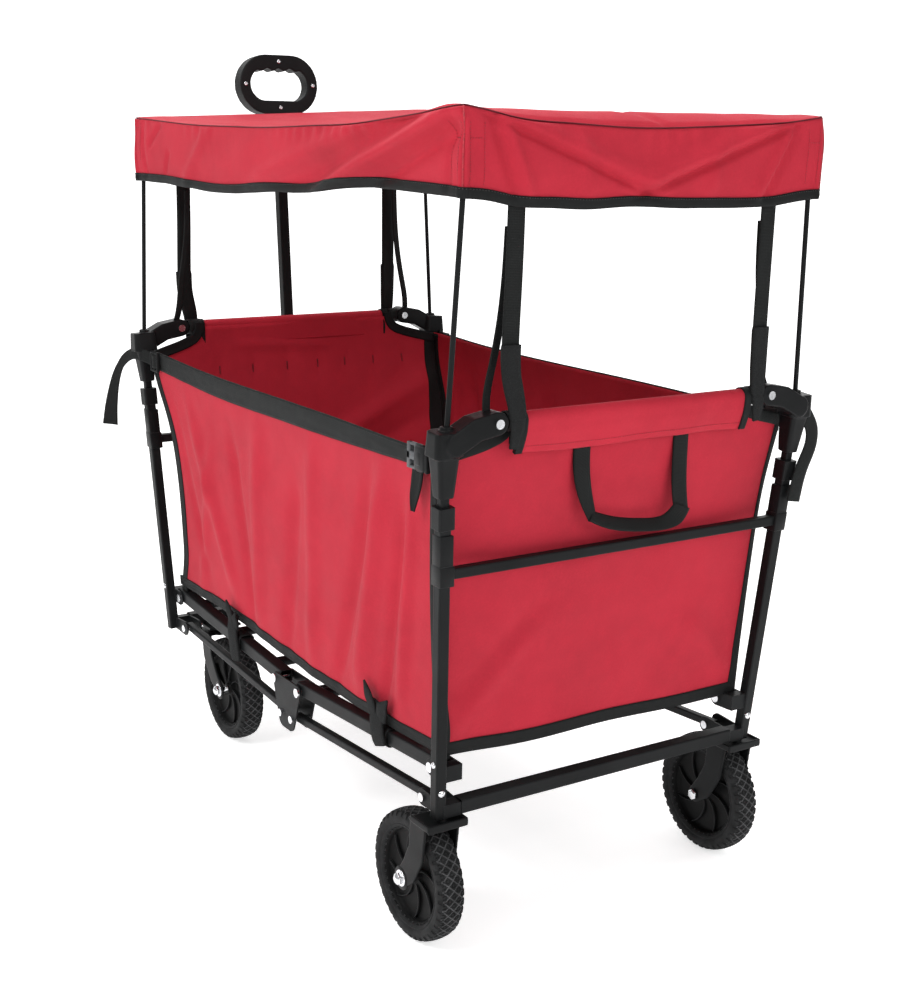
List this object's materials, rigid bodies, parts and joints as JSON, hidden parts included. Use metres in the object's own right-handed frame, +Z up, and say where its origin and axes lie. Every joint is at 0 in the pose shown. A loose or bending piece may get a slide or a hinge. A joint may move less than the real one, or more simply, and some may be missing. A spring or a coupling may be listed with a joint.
{
  "type": "folding wagon",
  "caption": "Folding pull wagon with a fabric tub on a steel tube frame, a canopy on four poles, swivel front casters and a telescoping handle with a loop grip.",
  "frame": {"origin": "on the ground, midway between the four posts", "axes": "+X forwards, towards the pull handle; +Y to the wagon's left side; +Z up"},
  "size_m": [1.07, 0.636, 1.1846],
  "materials": {
    "frame_steel": "semi-gloss black powder coat",
    "black_plastic": "moulded, lightly grained",
    "tyre": "solid tyre with block tread",
    "rivet_chrome": "plated steel",
    "red_fabric": "coated polyester, fine weave",
    "black_webbing": "ribbed polypropylene webbing"
  },
  "bodies": {
    "rear_frame": {"rear_posts": "frame_steel", "rear_lower_bar": "frame_steel", "rear_mid_bar": "frame_steel", "rear_top_rail": "frame_steel", "rear_bracket_left": "black_plastic", "rear_bracket_right": "black_plastic", "rear_post_collars": "black_plastic", "rear_fork_left": "frame_steel", "rear_fork_right": "frame_steel", "rear_axles": "rivet_chrome", "rear_rivets": "rivet_chrome", "rear_canopy_poles": "frame_steel", "tub_end_rear": "red_fabric", "carry_strap": "black_webbing", "rear_canopy_straps": "black_webbing", "tub_sides": "red_fabric", "side_webbing": "black_webbing", "canopy_cover": "red_fabric", "rear_buckles": "black_plastic"},
    "front_frame": {"front_posts": "frame_steel", "front_lower_bar": "frame_steel", "front_mid_bar": "frame_steel", "front_top_rail": "frame_steel", "front_bracket_left": "black_plastic", "front_bracket_right": "black_plastic", "front_post_collars": "black_plastic", "front_rivets": "rivet_chrome", "front_canopy_poles": "frame_steel", "tub_end_front": "red_fabric", "front_canopy_straps": "black_webbing", "caster_mounts": "frame_steel", "handle_bracket": "frame_steel", "strap_adjusters": "black_plastic"},
    "rear_rail_unit": {"rear_rails": "frame_steel", "rear_floor_tubes": "frame_steel", "floor_board_rear": "red_fabric"},
    "front_rail_unit": {"front_rails": "frame_steel", "front_floor_tubes": "frame_steel", "floor_board_front": "red_fabric"},
    "rear_rod_unit": {"rear_rods": "frame_steel"},
    "front_rod_unit": {"front_rods": "frame_steel"},
    "center_hinge": {"center_frame": "frame_steel", "center_rivets": "rivet_chrome", "fold_strap": "black_webbing"},
    "caster_left": {"caster_fork_left": "frame_steel", "caster_axle_left": "rivet_chrome"},
    "caster_right": {"caster_fork_right": "frame_steel", "caster_axle_right": "rivet_chrome"},
    "rear_wheel_left": {"rear_tyre_left": "tyre", "rear_hub_left": "black_plastic"},
    "rear_wheel_right": {"rear_tyre_right": "tyre", "rear_hub_right": "black_plastic"},
    "front_wheel_left": {"front_tyre_left": "tyre", "front_hub_left": "black_plastic"},
    "front_wheel_right": {"front_tyre_right": "tyre", "front_hub_right": "black_plastic"},
    "handle_lower": {"handle_lower_tube": "frame_steel"},
    "handle_upper": {"handle_upper_tube": "frame_steel", "handle_grip": "black_plastic"},
    "lock_button": {"handle_lock_button": "black_plastic"}
  },
  "joints": [
    {"name": "fold", "type": "hinge", "parent": "rear_frame", "child": "rear_rail_unit", "pos_m": [-0.418, 0, 0.256], "axis": [0, -1, 0], "range_deg": [0, 78], "deforming": ["tub_sides", "side_webbing", "canopy_cover"]},
    {"name": "center_fold", "type": "hinge", "parent": "rear_rail_unit", "child": "center_hinge", "pos_m": [-0.038, 0, 0.232], "axis": [0, -1, 0], "range_deg": [-78, 0]},
    {"name": "front_rail_fold", "type": "hinge", "parent": "center_hinge", "child": "front_rail_unit", "pos_m": [0.038, 0, 0.232], "axis": [0, -1, 0], "range_deg": [-78, 0]},
    {"name": "front_frame_fold", "type": "hinge", "parent": "front_rail_unit", "child": "front_frame", "pos_m": [0.418, 0, 0.256], "axis": [0, -1, 0], "range_deg": [0, 78]},
    {"name": "rear_rod_fold", "type": "hinge", "parent": "rear_frame", "child": "rear_rod_unit", "pos_m": [-0.398, 0, 0.206], "axis": [0, -1, 0], "range_deg": [0, 78]},
    {"name": "front_rod_fold", "type": "hinge", "parent": "center_hinge", "child": "front_rod_unit", "pos_m": [0.018, 0, 0.182], "axis": [0, -1, 0], "range_deg": [-78, 0]},
    {"name": "rear_wheel_left_spin", "type": "hinge", "parent": "rear_frame", "child": "rear_wheel_left", "pos_m": [-0.387, 0.259, 0.09], "axis": [0, 1, 0], "continuous": true},
    {"name": "rear_wheel_right_spin", "type": "hinge", "parent": "rear_frame", "child": "rear_wheel_right", "pos_m": [-0.387, -0.259, 0.09], "axis": [0, 1, 0], "continuous": true},
    {"name": "caster_left_swivel", "type": "hinge", "parent": "front_frame", "child": "caster_left", "pos_m": [0.428, 0.183, 0.19], "axis": [0, 0, 1], "continuous": true},
    {"name": "caster_right_swivel", "type": "hinge", "parent": "front_frame", "child": "caster_right", "pos_m": [0.428, -0.183, 0.19], "axis": [0, 0, 1], "continuous": true},
    {"name": "front_wheel_left_spin", "type": "hinge", "parent": "caster_left", "child": "front_wheel_left", "pos_m": [0.373, 0.183, 0.09], "axis": [0, 1, 0], "continuous": true},
    {"name": "front_wheel_right_spin", "type": "hinge", "parent": "caster_right", "child": "front_wheel_right", "pos_m": [0.373, -0.183, 0.09], "axis": [0, 1, 0], "continuous": true},
    {"name": "handle_swing", "type": "hinge", "parent": "front_frame", "child": "handle_lower", "pos_m": [0.47, 0, 0.215], "axis": [0, 1, 0], "range_deg": [0, 85]},
    {"name": "handle_telescope", "type": "slide", "parent": "handle_lower", "child": "handle_upper", "axis": [0.0854, 0, 0.9963], "range_m": [-0.32, 0]},
    {"name": "lock_button_press", "type": "slide", "parent": "handle_lower", "child": "lock_button", "axis": [-0.9963, 0, 0.0854], "range_m": [0, 0.002], "stiffness_N_per_m": 250}
  ],
  "couplings": [
    {"joint": "center_fold", "follows": "fold", "ratio": -1},
    {"joint": "front_rail_fold", "follows": "fold", "ratio": -1},
    {"joint": "front_frame_fold", "follows": "fold", "ratio": 1},
    {"joint": "rear_rod_fold", "follows": "fold", "ratio": 1},
    {"joint": "front_rod_fold", "follows": "fold", "ratio": -1}
  ]
}
